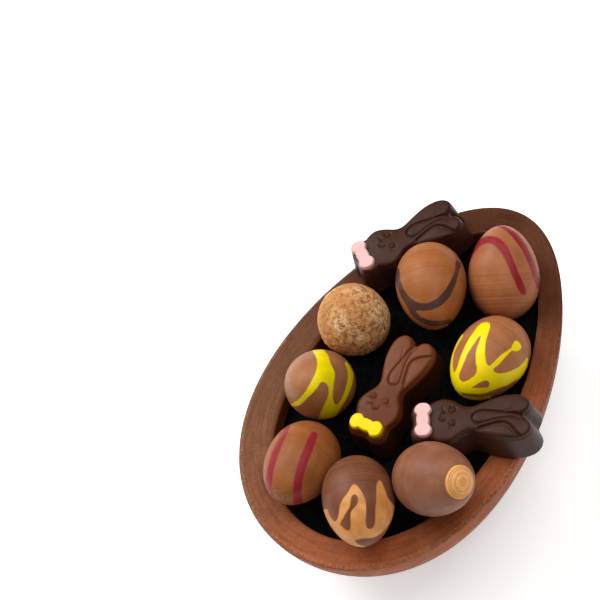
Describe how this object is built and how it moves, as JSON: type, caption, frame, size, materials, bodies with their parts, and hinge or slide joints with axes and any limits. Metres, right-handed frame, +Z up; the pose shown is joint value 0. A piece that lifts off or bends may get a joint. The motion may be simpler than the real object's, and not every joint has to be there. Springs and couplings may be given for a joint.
{
  "type": "filled chocolate egg half",
  "caption": "Thick moulded chocolate egg half lying open side up, filled with crumpled black tissue and a heap of small chocolate eggs, a cocoa truffle and bunnies with bows.",
  "frame": {"origin": "middle of the small flat spot under the round body, on the surface the half egg lies on", "axes": "+Z up out of the open side, +X towards the pointed end along the egg's length, +Y across it"},
  "size_m": [0.15, 0.1041, 0.0777],
  "materials": {
    "shell_chocolate": "satin, slightly marbled, soft melted rim",
    "black_tissue": "crumpled, faint sheen on the folds",
    "caramel_chocolate": "satin with dark bands and fine turning marks",
    "milk_chocolate": "satin with coloured bands and fine turning marks",
    "cocoa_dust": "matt, dusted with cocoa and dark specks",
    "bunny_milk_chocolate": "satin",
    "dark_chocolate": "satin",
    "yellow_chocolate": "satin",
    "pink_chocolate": "satin"
  },
  "bodies": {
    "root": {"shell": "shell_chocolate", "tissue_bed": "black_tissue", "caramel_swirl_egg": "caramel_chocolate", "red_striped_tall_egg": "milk_chocolate", "yellow_lattice_egg": "milk_chocolate", "yellow_band_egg": "milk_chocolate", "red_striped_low_egg": "milk_chocolate", "blond_swirl_egg": "milk_chocolate", "blond_tip_egg": "milk_chocolate", "truffle": "cocoa_dust", "milk_bunny": "bunny_milk_chocolate", "dark_bunny_low": "dark_chocolate", "dark_bunny_top": "dark_chocolate", "yellow_bow": "yellow_chocolate", "pink_bow_low": "pink_chocolate", "pink_bow_top": "pink_chocolate"}
  },
  "joints": []
}
